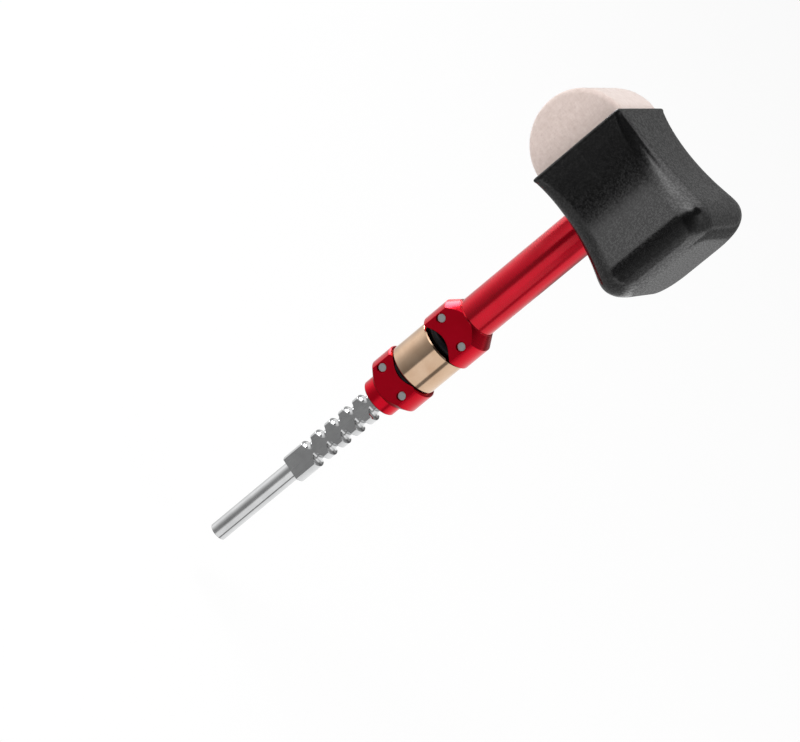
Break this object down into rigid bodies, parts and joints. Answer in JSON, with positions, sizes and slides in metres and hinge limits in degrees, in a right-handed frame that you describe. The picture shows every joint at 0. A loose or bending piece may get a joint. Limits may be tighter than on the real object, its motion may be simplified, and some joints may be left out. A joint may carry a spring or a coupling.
{
  "type": "bass drum beater",
  "caption": "Bass drum beater with a notched clamp shaft, a screw-on quick-change coupling between two flatted hubs, a tube and a rubber head with a felt pad.",
  "frame": {"origin": "centre of the shaft's lower end face", "axes": "+Z along the shaft towards the head, +X towards the rubber strike face, -X towards the felt, wrench flats of the hubs and the bar face +Y and -Y"},
  "size_m": [0.0798, 0.0534, 0.2569],
  "materials": {
    "satin_chrome": "satin",
    "red_anodised": "satin",
    "pin_steel": "satin",
    "blackened_steel": "satin",
    "seal_rubber": "gloss",
    "bronze": "polished",
    "nylon": "matte",
    "head_rubber": "matte",
    "felt": "wool felt"
  },
  "bodies": {
    "shaft_side": {"drive_shaft": "satin_chrome", "lower_hub": "red_anodised", "lower_hub_pins": "pin_steel", "socket_core": "blackened_steel", "lower_seal_ring": "seal_rubber"},
    "head_side": {"key_spigot": "blackened_steel", "upper_seal_ring": "seal_rubber", "upper_hub": "red_anodised", "upper_hub_pins": "pin_steel", "beater_tube": "red_anodised", "head_core": "nylon", "head_pin": "pin_steel", "head_shell": "head_rubber", "felt_pad": "felt"},
    "sleeve": {"lock_sleeve": "bronze"}
  },
  "joints": [
    {"name": "head_lift", "type": "slide", "parent": "shaft_side", "child": "head_side", "axis": [0, 0, 1], "range_m": [0, 0.009]},
    {"name": "sleeve_turn", "type": "hinge", "parent": "head_side", "child": "sleeve", "pos_m": [0, 0, 0.122], "axis": [0, 0, 1], "range_deg": [0, 360]}
  ],
  "couplings": [
    {"joint": "sleeve_turn", "follows": "head_lift", "rad_per_m": 698.13}
  ]
}
